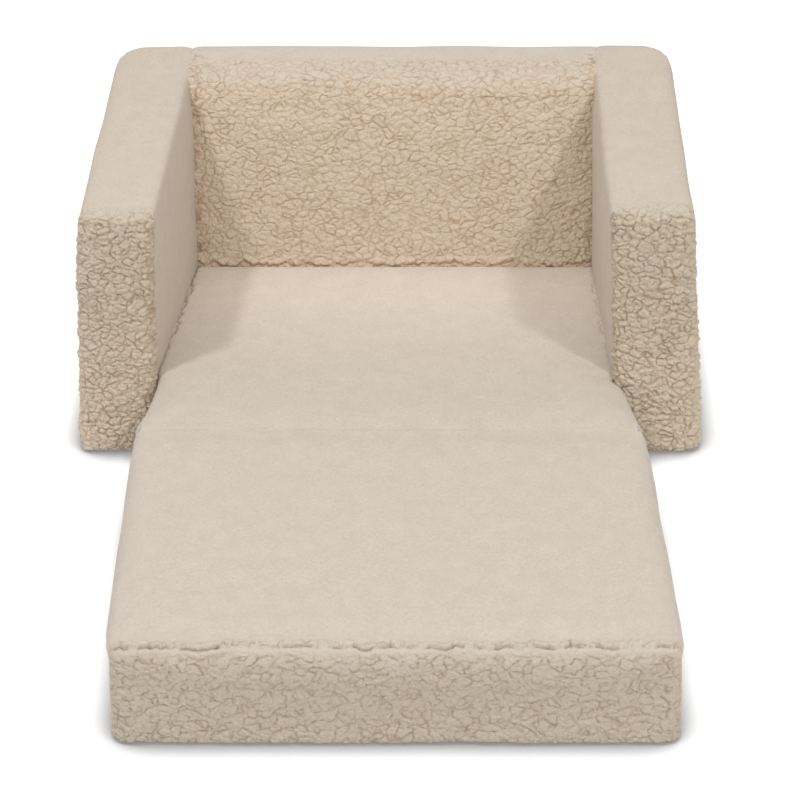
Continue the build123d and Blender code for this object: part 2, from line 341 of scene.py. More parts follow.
def zip_plastic(name, colour, teeth):
    """Moulded nylon, slightly glossy, with its coil's turns across it where it has teeth."""
    graph = Graph(name)
    turns = graph.node(
        "ShaderNodeTexWave", {"bands_direction": "X"}, Vector=graph.place(), Scale=210.0, out="Fac"
    )
    grain = graph.noise(300, 2, graph.place())
    base = graph.tints(graph.range(turns, 0.15, 0.6, teeth, 0.0), colour, (1, 1, 1), (0.6, 0.57, 0.53))
    return plain(graph, base, 0.42, 0.7, 0.5 * MM, turns * teeth + grain * 0.15)


# The arms' fleece is a little warmer than the rest: painted warm shade, for the light bounced between the
# pieces
ARM_WARM_SHADE = (0.985, 0.96, 0.925)
FLEECES = {"arm_sherpa": "arm_fleece"}


def material(name):
    """Sofa's material of that name, made when it is first asked for."""
    made = bpy.data.materials.get(name)
    if made:
        return made
    colours = bpy.context.scene.sofa_colours
    arm_fleece = shade(colours.fleece, ARM_WARM_SHADE)
    return {
        "fleece": lambda: fleece(name, colours.fleece),
        "arm_fleece": lambda: fleece(name, arm_fleece),
        "arm_sherpa": lambda: sherpa(name, colours.arm_sherpa, arm_fleece, crack=0.55, foot=0.2),
        "back_sherpa": lambda: sherpa(name, colours.back_sherpa, colours.fleece, crack=0.75),
        "leaf_sherpa": lambda: sherpa(name, colours.leaf_sherpa, colours.fleece, crack=0.4),
        "base_cloth": lambda: base_cloth(name, (0.52, 0.48, 0.42)),
        "zip_tape": lambda: zip_tape(name, (0.62, 0.55, 0.45)),
        "zip_coil": lambda: zip_plastic(name, (0.66, 0.6, 0.5), teeth=1.0),
        "zip_slider": lambda: zip_plastic(name, (0.6, 0.54, 0.45), teeth=0.0),
    }[name]()


# Meshes as rows of points
def points_of(mesh):
    points = np.empty(len(mesh.vertices) * 3)
    mesh.vertices.foreach_get("co", points)
    return points.reshape(-1, 3)


def set_points(mesh, points):
    mesh.vertices.foreach_set("co", points.ravel())
    mesh.update()


def normals_of(mesh):
    normals = np.empty(len(mesh.vertices) * 3, np.float32)
    mesh.vertex_normals.foreach_get("vector", normals)
    return normals.reshape(-1, 3).astype(float)


def face_values(mesh, key):
    values = np.empty(len(mesh.polygons) * 3)
    mesh.polygons.foreach_get(key, values)
    return values.reshape(-1, 3)


def set_attribute(mesh, name, values):
    attribute = mesh.attributes.get(name) or mesh.attributes.new(name, "FLOAT", "POINT")
    attribute.data.foreach_set("value", values.astype(np.float32))


def smooth_step(value, low, high):
    """Eased rise from 0 where the value is at the low end to 1 at the high end."""
    share = np.clip((value - low) / (high - low), 0, 1)
    return share * share * (3 - 2 * share)


def ridge(away, width):
    """Bell that is 1 where nothing is away, and about a third one width off."""
    return np.exp(-((away / width) ** 2))


def falling(distance, reach):
    """Straight fall from 1 at no distance to 0 at the reach."""
    return 1 - np.minimum(distance / reach, 1)


# Random patterns, a numbered channel for each
AXIS_FACTORS = (73856093, 19349663, 83492791)
CHANNEL_FACTOR = 40503
MIXING_FACTOR = 1274126177
LOW_BITS = 0xFFFF


def scatter(cell, channel):
    """Repeatable random number from 0 to 1 for each whole-numbered cell."""
    mixed = channel * CHANNEL_FACTOR
    for axis, factor in enumerate(AXIS_FACTORS):
        mixed = mixed ^ cell[:, axis] * factor
    mixed = (mixed ^ (mixed >> 13)) * MIXING_FACTOR
    return ((mixed ^ (mixed >> 16)) & LOW_BITS) / LOW_BITS


def drift(place, channel):
    """Smooth random rise and fall, from 0 to 1, over about one unit."""
    base = np.floor(place).astype(np.int64)
    part = place - base
    part = part * part * (3 - 2 * part)
    total = np.zeros(len(place))
    for corner in itertools.product((0, 1), repeat=3):
        weight = np.prod(np.where(corner, part, 1 - part), axis=1)
        total += weight * scatter(base + corner, channel)
    return total


def drift_along(along, length, channel):
    """The same along a line, over about the given length."""
    return drift(np.stack([along / length, 0 * along, 0 * along], axis=1), channel)


def drift_vector(place, channel):
    """The same for each axis, from -0.5 to 0.5."""
    return np.stack([drift(place, channel + axis) for axis in range(3)], axis=1) - 0.5


def packed(place, channel):
    """Distance from each place to the border of its cell, and how deep that border is, from 0 to 1."""
    far, least_apart, depth_mixing = 9.0, 0.05, 7.31
    base = np.floor(place).astype(np.int64)
    first, second = np.full(len(place), far), np.full(len(place), far)
    centres = [np.zeros_like(place), np.zeros_like(place)]
    numbers = [np.zeros(len(place)), np.zeros(len(place))]
    for offset in itertools.product((-1, 0, 1), repeat=3):
        cell = base + offset
        centre = cell + np.stack([scatter(cell, channel + axis) for axis in range(3)], axis=1)
        number = scatter(cell, channel + 3)
        gap = ((centre - place) ** 2).sum(axis=1)
        nearest = gap < first
        follows = ~nearest & (gap < second)
        second = np.where(nearest, first, np.where(follows, gap, second))
        numbers[1] = np.where(nearest, numbers[0], np.where(follows, number, numbers[1]))
        centres[1] = np.where(
            nearest[:, None], centres[0], np.where(follows[:, None], centre, centres[1])
        )
        first = np.where(nearest, gap, first)
        numbers[0] = np.where(nearest, number, numbers[0])
        centres[0] = np.where(nearest[:, None], centre, centres[0])
    apart = np.linalg.norm(centres[1] - centres[0], axis=1)
    border = (second - first) / (2 * np.maximum(apart, least_apart))
    return border, (numbers[0] + numbers[1]) * depth_mixing % 1.0


def curls(points, stretch, even, channel):
    """Height of a curly pile, 0 deep in its cracks and 1 on its curls, and the painted shade in its cracks.

    Lengths in here are shares of a curl. The more even the pile, the less its cracks differ in depth."""
    shoulder_reach, fine_shoulder_reach, crack_reach = 0.34, 0.38, 0.11
    bend, fine_bend, channel_step = 0.6, 0.16, 7.3
    crack_depth, fine_depth_share, swell, grain = 0.75, 0.42, 0.6, 0.34
    place = points / (np.array(stretch) * CURL) + channel * channel_step
    place = (
        place + bend * drift_vector(place * 0.7, channel) + fine_bend * drift_vector(place * 2.2, channel + 5)
    )
    border, depth = packed(place, channel)
    fine_border, fine_depth = packed(place * 2.0 + 3.7, channel + 9)
    depth = even + (1 - even) * np.clip(depth * 1.5 - 0.25, 0, 1)
    shoulder = falling(border, shoulder_reach) ** 2.4
    fine_shoulder = falling(fine_border, fine_shoulder_reach) ** 2
    rise = 1 - crack_depth * (0.2 + 0.8 * depth) * shoulder
    rise -= fine_depth_share * fine_shoulder * (0.3 + 0.7 * fine_depth)
    rise += (
        swell * (drift(place * 0.55, channel + 20) - 0.5) + grain * (drift(place * 3.3, channel + 22) - 0.5)
    )
    # Painted shade down in the cracks, darker where they are deeper, and in the fine cracks' hollows
    crack = falling(border, crack_reach) ** 1.4 * depth
    # How much of the painted crack shade shows, rising and falling at random over the pile
    crack_shade_share = 0.4 + 0.6 * smooth_step(drift(place * 0.45, channel + 21), 0.3, 0.6)
    return rise, np.clip((crack + 0.3 * fine_shoulder ** 3 * fine_depth) * crack_shade_share, 0, 1)


def crevice_shade(points, from_edge, channel):
    """Painted shade: dark spots in the pile within a few millimetres of an edge that something presses on."""
    reach, spot = 8 * MM, 4.5 * MM
    return 0.9 * ridge(from_edge, reach) * smooth_step(drift(points / spot, channel), 0.45, 0.7)


def stitched(points, across, along, broken, channel):
    """Sewn seam: a wandering groove, broken here and there, with tufts caught up on one side, and the
    painted shade down in the groove."""
    sway, sway_length = 8 * MM, 14 * MM
    shake, shake_length = 3.4 * MM, 5 * MM
    groove_width, groove_depth, break_length = 1.6 * MM, 3 * MM, 11 * MM
    tuft_place, tuft_width, tuft_height = 5 * MM, 4.4 * MM, 4.8 * MM
    tuft_length, tuft_grain = 9 * MM, 4 * MM
    lip_place, lip_width, lip_height = 6 * MM, 4.5 * MM, 1.4 * MM
    away = across + sway * (drift_along(along, sway_length, channel) - 0.5)
    away += shake * (drift_along(along, shake_length, channel + 1) - 0.5)
    groove = ridge(away, groove_width)
    groove *= smooth_step(drift_along(along, break_length, channel + 2), broken - 0.15, broken + 0.15)
    tufts = ridge(away - tuft_place, tuft_width)
    tufts *= (
        0.1 + 0.6 * drift_along(along, tuft_length, channel + 3)
        + 0.7 * drift(points / tuft_grain, channel + 4)
    )
    lip = ridge(away + lip_place, lip_width)
    # The groove's share also gives its painted shade
    return tuft_height * tufts + lip_height * lip - groove_depth * groove, groove


def ragged(points, channel):
    """How far the border between the two piles wanders to either side."""
    wander, length = 7 * MM, 6 * MM
    return wander * (drift(points / length, channel) - 0.5)


# Stuffed blocks
def settle(obj):
    """Makes the result of an object's modifiers its mesh."""
    depsgraph = bpy.context.evaluated_depsgraph_get()
    mesh = bpy.data.meshes.new_from_object(obj.evaluated_get(depsgraph))
    old = obj.data
    obj.modifiers.clear()
    obj.data = mesh
    bpy.data.meshes.remove(old)
    mesh.name = obj.name


def link(name, data):
    obj = bpy.data.objects.new(name, data)
    bpy.context.scene.collection.objects.link(obj)
    return obj


def level(sides, ends, heights):
    """Four corners of a block's foot or top, front first: its two sides along X, its front and rear, and
    its height at each."""
    (first, last), (front, rear), (front_height, rear_height) = sides, ends, heights
    return [
        (first, front, front_height), (last, front, front_height),
        (last, rear, rear_height), (first, rear, rear_height),
    ]


def block(name, corners, radius, special):
    """Closed block through eight corners, 0 to 3 at its foot and 4 to 7 above them, with its own radius
    for each edge that is special."""
    bm = bmesh.new()
    verts = [bm.verts.new(corner) for corner in corners]
    for face in ((0, 3, 2, 1), (4, 5, 6, 7), (0, 1, 5, 4), (1, 2, 6, 5), (2, 3, 7, 6), (3, 0, 4, 7)):
        bm.faces.new([verts[i] for i in face])
    bmesh.ops.recalc_face_normals(bm, faces=bm.faces)
    foot = bpy.context.scene.sofa_sizes.foot_radius
    largest = max(radius, foot, *special.values())
    weights = bm.edges.layers.float.new("bevel_weight_edge")
    numbers = {vert: number for number, vert in enumerate(verts)}
    for edge in bm.edges:
        ends = tuple(sorted(numbers[vert] for vert in edge.verts))
        edge[weights] = special.get(ends, foot if ends[1] < 4 else radius) / largest
    mesh = bpy.data.meshes.new(name)
    bm.to_mesh(mesh)
    bm.free()
    obj = link(name, mesh)
    modifier = obj.modifiers.new("Rounded edges", "BEVEL")
    modifier.limit_method = "WEIGHT"
    modifier.width = largest
    modifier.segments = 10
    modifier.profile = 0.5
    settle(obj)
    modifier = obj.modifiers.new("Even faces", "REMESH")
    modifier.mode = "VOXEL"
    modifier.voxel_size = bpy.context.scene.sofa_sizes.mesh_size
    settle(obj)
    return obj


def fill(obj, seam_distance):
    """Bows the faces out with the filling's pressure, held along the seams and near the floor."""
    quick_reach, seam_reach, floor_reach = 60 * MM, 50 * MM, 20 * MM
    stiffness, pressure, last_frame, tiny = 30, 4, 20, 1e-9
    sizes = bpy.context.scene.sofa_sizes
    start = points_of(obj.data)
    distance = seam_distance(start)
    group = obj.vertex_groups.new(name="seams")
    group.add([int(i) for i in np.nonzero(distance < sizes.mesh_size)[0]], 1.0, "REPLACE")
    modifier = obj.modifiers.new("Filling", "CLOTH")
    cloth = modifier.settings
    cloth.quality = 4
    cloth.vertex_group_mass = "seams"
    cloth.tension_stiffness = stiffness
    cloth.compression_stiffness = stiffness
    cloth.use_pressure = True
    cloth.uniform_pressure_force = pressure
    cloth.effector_weights.gravity = 0
    modifier.point_cache.frame_start = 1
    modifier.point_cache.frame_end = last_frame
    scene = bpy.context.scene
    for number in range(1, last_frame + 1):
        scene.frame_set(number)
    settle(obj)
    scene.frame_set(1)
    moved = points_of(obj.data) - start
    length = np.linalg.norm(moved, axis=1)
    share = np.minimum(1, sizes.fullness / np.maximum(length, tiny))
    share *= smooth_step(distance, 0, seam_reach) * smooth_step(start[:, 2], 0, floor_reach)
    set_points(obj.data, start + moved * share[:, None])
    obj.vertex_groups.clear()


def refine(obj):
    modifier = obj.modifiers.new("Rounder", "SUBSURF")
    modifier.levels = 1
    modifier.render_levels = 1
    settle(obj)


def subdivide_where(obj, chosen, cuts):
    """Splits the chosen faces' edges, so that the pile on them has room for its curls."""
    bm = bmesh.new()
    bm.from_mesh(obj.data)
    bm.faces.ensure_lookup_table()
    faces = [bm.faces[i] for i in np.nonzero(chosen)[0]]
    edges = list({edge for face in faces for edge in face.edges})
    bmesh.ops.subdivide_edges(bm, edges=edges, cuts=cuts, use_grid_fill=True)
    bm.to_mesh(obj.data)
    bm.free()


def no_curls(points):
    return np.zeros(len(points))


def dress(obj, channel, detail, fine, curly=no_curls, height=0, stretch=(1, 1, 1), even=0):
    """Raises the pile: curls where curly says, a soft unevenness elsewhere, and a seam's own detail.

    curly and fine give, for points, how much of the curly pile they have and whether they need small
    faces; detail gives their rise and painted shade along the seams."""
    uneven, uneven_length = 2.4 * MM, 85 * MM
    seam_low, seam_high = 34 * MM, 4 * MM
    level_lift, cuts = 0.62, 2
    refine(obj)
    subdivide_where(obj, fine(face_values(obj.data, "center")) > 0.01, cuts)
    points = points_of(obj.data)
    normals = normals_of(obj.data)
    share = curly(points)
    pile = share > 0.001
    lift = np.ones(len(points))
    crack = np.zeros(len(points))
    if pile.any():
        lift[pile], crack[pile] = curls(points[pile], stretch, even, channel)
    rise = (lift - level_lift) * height * share
    rise += uneven * (drift(points / uneven_length, channel + 30) - 0.5)
    lift = 1 - (1 - lift) * share
    crack = crack * share
    more, dark = detail(points, normals)
    rise += more
    crack = np.maximum(crack, dark)
    points += normals * rise[:, None]
    points[:, 2] = np.maximum(points[:, 2], FLOOR_GAP)
    set_points(obj.data, points)
    top = points[:, 2].max()
    set_attribute(obj.data, "lift", lift)
    # Painted shade of the cracks, grooves and crevices, for the piles' colours
    set_attribute(obj.data, "crack", crack)
    # Share near the top, where the curly pile takes the fleece's colour, partly as painted light
    set_attribute(obj.data, "top_seam", smooth_step(points[:, 2], top - seam_low, top - seam_high))


def finish_piece(obj, body, nodes, sherpa_name, sherpa_side=no_curls, base_below=BASE_BELOW):
    """Gives each face its fabric, puts the piece on its body and hides the parts that it stands for."""
    facing_down, base_slot = -0.7, 2
    for name in (FLEECES.get(sherpa_name, "fleece"), sherpa_name, "base_cloth"):
        obj.data.materials.append(material(name))
    centres = face_values(obj.data, "center")
    slots = (sherpa_side(centres) > 0.5).astype(np.int32)
    under = (centres[:, 2] < base_below) & (face_values(obj.data, "normal")[:, 2] < facing_down)
    slots[under] = base_slot
    obj.data.polygons.foreach_set("material_index", slots)
    obj.data.polygons.foreach_set("use_smooth", np.ones(len(slots), bool))
    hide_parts(*nodes)
    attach(obj, body)


# Zips' slots
def within(value, low, high):
    """1 from low to high, easing to 0 a little outside them."""
    slope = 4 * MM
    return smooth_step(value, low - slope, low) * smooth_step(-value, -high - slope, -high)


def zip_dent(obj, face, floor, low_x, high_x):
    """Sinks a face to the foam behind a zip's slot: face and floor are the two levels along Y."""
    margin, reach = 1 * MM, 6 * MM
    points = points_of(obj.data)
    inside = within(points[:, 0], low_x, high_x)
    inside *= within(points[:, 2], ZIP_LOW - margin, ZIP_HIGH + margin)
    near = np.abs(points[:, 1] - face) < reach
    points[near, 1] += ((floor - points[:, 1]) * inside)[near]
    set_points(obj.data, points)


def near_zip(points, face):
    margin, reach = 9 * MM, 8 * MM
    tall = (points[:, 2] > ZIP_LOW - margin) & (points[:, 2] < ZIP_HIGH + margin)
    return tall & (np.abs(points[:, 1] - face) < reach)


# Arms, in millimetres: how far from the middle the inner face stands at its front and rear and the outer
# face all along, each at the top and at the foot, and how high the top is at its front and rear
ARMS = {
    "left_arm": {
        "side": -1, "inner_front": (284, 304), "inner_rear": (275, 266), "outer": (387, 404),
        "top": (342, 350),
    },
    "right_arm": {
        "side": 1, "inner_front": (267, 288), "inner_rear": (267, 266), "outer": (380, 401),
        "top": (348, 351),
    },
}
STRAIGHT_INNER = 280 * MM
STRAIGHT_WIDTH = 106 * MM
LEAN_POWER = 0.6


def inner_face(arm, along, low):
    """How far an arm's inner face stands from the sofa's middle, along from front to rear and low down."""
    (front_top, front_foot), (rear_top, rear_foot) = arm["inner_front"], arm["inner_rear"]
    top = front_top * (1 - along) + rear_top * along
    foot = front_foot * (1 - along) + rear_foot * along
    return MM * (top * (1 - low) + foot * low)


def along_arm(points, front, rear):
    """Share of the way from an arm's front to its rear, and from its top down to the floor."""
    along = np.clip((points[:, 1] - front) / (rear - front), 0, 1)
    return along, np.clip(1 - points[:, 2] / HEIGHT, 0, 1)


def arm_shape(points, arm, front, rear):
    """Moves a straight arm's points to the leaning, slightly twisted faces of a soft one."""
    tilt = 12 * MM
    along, low = along_arm(points, front, rear)
    out_top, out_foot = arm["outer"]
    front_height, rear_height = arm["top"]
    inner = inner_face(arm, along, low ** LEAN_POWER)
    outer = MM * (out_top * (1 - low) + out_foot * low)
    across = (arm["side"] * points[:, 0] - STRAIGHT_INNER) / STRAIGHT_WIDTH
    shaped = points.copy()
    shaped[:, 0] = arm["side"] * (inner * (1 - across) + outer * across)
    shaped[:, 1] += tilt * (1 - low) * along - tilt * low * (1 - along)
    shaped[:, 2] *= MM * (front_height * (1 - along) + rear_height * along) / HEIGHT
    return shaped


def build_arm(name, arm, channel):
    """Builds one arm: its straight block is filled, shaped, and dressed with its two piles."""
    sizes = bpy.context.scene.sofa_sizes
    front_room, side_room, top_room, rear_swell = 1 * MM, 2 * MM, 2 * MM, 1 * MM
    front, rear, high = ARM_FRONT + front_room, REAR + rear_swell, HEIGHT - top_room
    seam_side = ARM_FRONT + 12 * MM
    seam_turn, seam_rise = HEIGHT - 14 * MM, 9 * MM
    top_edge, top_level = HEIGHT - 12 * MM, HEIGHT - 5 * MM
    seam_half, fade_start, fade_end = 4 * MM, 12 * MM, 30 * MM
    fine_on_top, fine_beside = 34 * MM, 9 * MM
    pressed, pile_height = 3 * MM, 5 * MM

    def from_seam(points):
        """Distance back from the seam, which runs over the front's top edge and behind its sides."""
        return points[:, 1] - seam_side + np.clip(points[:, 2] - seam_turn, 0, seam_rise)

    def curly(points):
        """All of it ahead of the seam, and less and less of it behind the top edge."""
        on_top = smooth_step(points[:, 2], top_edge, top_level)
        share = 1 - smooth_step(from_seam(points), -seam_half, seam_half)
        fading = 1 - smooth_step(from_seam(points), fade_start, fade_end)
        return share + (1 - share) * on_top * 0.75 * fading

    def detail(points, normals):
        rise, dark = stitched(points, -from_seam(points), points[:, 2] + points[:, 0], 0.4, 700)
        top = normals[:, 2] > 0.6
        along, low = along_arm(points, front, rear)
        edge = arm["side"] * points[:, 0] - inner_face(arm, along, low ** LEAN_POWER)
        # Painted shade in the crevice where the seat presses on the arm's inner edge
        shade_spots = crevice_shade(points, edge - pressed, 720) * (points[:, 1] < seam_side)
        # Painted shade in the seam's groove and the crevice, weaker on the top
        return rise * np.where(top, 0.3, 0.5), np.maximum(dark * np.where(top, 0.4, 0.7), shade_spots)

    def fine(points):
        return from_seam(points) < np.where(points[:, 2] > top_edge, fine_on_top, fine_beside)

    def sherpa_side(points):
        return from_seam(points) < ragged(points, 60)

    def seams(points):
        distance = np.abs(points[:, 1] - seam_side)
        from_top = np.abs(points[:, 2] - high + sizes.edge_radius)
        return np.where(points[:, 1] > seam_side, np.minimum(distance, from_top), distance)

    inner = arm["side"] * (STRAIGHT_INNER + side_room)
    outer = arm["side"] * (STRAIGHT_INNER + STRAIGHT_WIDTH - side_room)
    corners = [
        *level((inner, outer), (front, rear), (FLOOR_GAP, FLOOR_GAP)),
        *level((inner, outer), (front, rear), (high, high)),
    ]
    obj = block(f"{name}_cushion", corners, sizes.edge_radius, {(2, 6): sizes.rear_corner})
    fill(obj, seams)
    set_points(obj.data, arm_shape(points_of(obj.data), arm, front, rear))
    dress(obj, channel, detail, fine, curly, height=pile_height, stretch=(1.1, 1, 0.9), even=0.25)
    nodes = [
        f"{name}_{part}"
        for part in ("foam", "top_panel", "front_panel", "inner_panel", "outer_panel", "base_cloth")
    ]
    finish_piece(obj, "frame", nodes, "arm_sherpa", sherpa_side)


class BuildArms(bpy.types.Operator):
    """Builds both arms: curly on their fronts, smooth elsewhere, and leaning out at their feet"""

    bl_idname = "sofa.build_arms"
    bl_label = "Arms"

    def execute(self, context):
        for channel, (name, arm) in zip((50, 100), ARMS.items()):
            build_arm(name, arm, channel)
        return {"FINISHED"}


class BuildBack(bpy.types.Operator):
    """Builds the back: curly down its front and over its top edge, smooth on top and behind"""

    bl_idname = "sofa.build_back"
    bl_label = "Back"

    def execute(self, context):
        half, lean = 290 * MM, 13 * MM
        rear, high = REAR + 0.5 * MM, HEIGHT + 3 * MM
        top_front, foot_front = REAR - 96 * MM, REAR - 162 * MM
        front_radius, rear_radius, pile_height = 22 * MM, 9 * MM, 3 * MM
        curly_behind, smooth_behind = 50 * MM, 60 * MM
        smooth_below, curly_above = 60 * MM, 80 * MM
        border_length = 6 * MM
        seam_behind, seam_low, rear_reach = 55 * MM, 20 * MM, 20 * MM
        seat_seam, front_top = SEAT_REAR_HEIGHT + 3 * MM, 130 * MM
        beside_arm = 271 * MM
        zip_face, zip_end = REAR + 1 * MM, 254 * MM

        def behind_face(points):
            return points[:, 1] - foot_front - (top_front - foot_front) * points[:, 2] / HEIGHT

        def curly(points):
            share = 1 - smooth_step(behind_face(points), curly_behind, smooth_behind)
            return share * smooth_step(points[:, 2], smooth_below, curly_above)

        def sherpa_side(points):
            return curly(points) > 0.5 + 0.8 * (drift(points / border_length, 62) - 0.5)

        def seams(points):
            distance = np.where(
                points[:, 2] > HEIGHT / 2,
                np.abs(behind_face(points) - seam_behind), np.abs(points[:, 2] - seam_low),
            )
            return distance * smooth_step(REAR - points[:, 1], 0, rear_reach)

        def detail(points, normals):
            rise, dark = stitched(points, points[:, 2] - seat_seam, points[:, 0], 0.3, 400)
            front = (normals[:, 1] < -0.5) & (points[:, 2] < front_top)
            # Painted shade in the crevices where the arms press on the back's sides
            shade_spots = crevice_shade(points, np.abs(points[:, 0]) - beside_arm, 420) * (normals[:, 1] < 0)
            # Painted shade in the seam's groove on the front and in the crevices
            return rise * front * 0.7, np.maximum(dark * front, shade_spots)

        def fine(points):
            return np.maximum(curly(points), near_zip(points, REAR))

        corners = [
            *level((-half, half), (foot_front, rear), (FLOOR_GAP, FLOOR_GAP)),
            *level((-half, half), (top_front, rear + lean), (high, high)),
        ]
        radii = {(4, 5): front_radius, (6, 7): rear_radius}
        obj = block("back_cushion", corners, context.scene.sofa_sizes.edge_radius, radii)
        fill(obj, seams)
        dress(obj, 250, detail, fine, curly, height=pile_height, stretch=(1.15, 1, 0.9), even=0.3)
        zip_dent(obj, zip_face, REAR - ZIP_DEPTH, -zip_end, zip_end)
        nodes = ["back_foam", "back_front_panel", "back_top_panel", "back_rear_panel", "back_base_cloth"]
        finish_piece(obj, "frame", nodes, "back_sherpa", sherpa_side)
        return {"FINISHED"}


class BuildSeat(bpy.types.Operator):
    """Builds the seat slab, squeezed between the arms and swelling out ahead of them"""

    bl_idname = "sofa.build_seat"
    bl_label = "Seat"

    def execute(self, context):
        half, tight, rounded = 300 * MM, 1 * MM, 4 * MM
        front, rear = FOLD + JOINT_GAP, REAR - 138 * MM
        left_half, left_swell, left_taper = 301 * MM, 15 * MM, 24 * MM
        right_half, right_swell, right_taper = 300 * MM, 18 * MM, 22 * MM
        right_pinch, pinch_length, tuck = 13 * MM, 14 * MM, 9 * MM
        swell_start, swell_end, taper_end = 10 * MM, 170 * MM, 330 * MM
        tuck_start, tuck_end = 2 * MM, 22 * MM
        seam_out, seam_back = 3 * MM, 4 * MM
        fine_beside, fine_above, front_reach = 16 * MM, 60 * MM, 60 * MM
        painted_light_front, painted_light_rear = FOLD + 90 * MM, REAR - 160 * MM

        def from_arm(points):
            """Distance out to the nearer arm's inner face, at the seat's height."""
            along, low = along_arm(points, ARM_FRONT, REAR)
            left = inner_face(ARMS["left_arm"], along, low ** LEAN_POWER)
            right = inner_face(ARMS["right_arm"], along, low ** LEAN_POWER)
            return np.where(points[:, 0] < 0, left + points[:, 0], right - points[:, 0])

        def detail(points, normals):
            beside = (points[:, 1] > ARM_FRONT + seam_back) & (normals[:, 2] > 0.5)
            rise, dark = stitched(points, seam_out - from_arm(points), points[:, 1], 0.1, 500)
            left = np.where(points[:, 0] < 0, 1.0, 0.45)
            # Painted shade in the seam's groove beside the arms, stronger on the left
            return rise * beside * 0.25 * left, dark * beside * left

        def fine(points):
            beside = (np.abs(from_arm(points)) < fine_beside) & (points[:, 1] > ARM_FRONT)
            return beside & (points[:, 2] > fine_above)

        def seams(points):
            return np.minimum(points[:, 1] - front, front_reach)

        def squeezed(points):
            """Width on each side: swelling ahead of the arms, and tapering and tucked under between them."""
            ahead = ARM_FRONT - points[:, 1]
            spread = smooth_step(ahead, -swell_start, swell_end)
            behind = smooth_step(-ahead, 0, taper_end)
            tucked = tuck * smooth_step(-ahead, tuck_start, tuck_end)
            left = left_half + left_swell * spread - left_taper * behind
            right = right_half + right_swell * spread - right_taper * behind
            right -= right_pinch * ridge(ahead, pinch_length)
            return np.where(points[:, 0] < 0, left, right) + tucked

        corners = [
            *level((-half, half), (front, rear), (FLOOR_GAP, FLOOR_GAP)),
            *level((-half, half), (front, rear), (FOLD_HEIGHT, SEAT_REAR_HEIGHT)),
        ]
        radii = {(4, 5): tight, (0, 4): rounded, (1, 5): rounded}
        obj = block("seat_cushion", corners, context.scene.sofa_sizes.edge_radius, radii)
        fill(obj, seams)
        points = points_of(obj.data)
        points[:, 0] *= squeezed(points) / half
        set_points(obj.data, points)
        dress(obj, 150, detail, fine)
        # Painted light: the seat's fleece lightens towards its rear, for the light bounced onto it from the
        # back and arms
        brushed = smooth_step(points_of(obj.data)[:, 1], painted_light_front, painted_light_rear)
        set_attribute(obj.data, "brushed", brushed)
        nodes = [
            "seat_foam", "seat_top_panel", "seat_front_panel", "seat_left_panel", "seat_right_panel",
            "seat_base_cloth",
        ]
        finish_piece(obj, "frame", nodes, "leaf_sherpa")
        return {"FINISHED"}


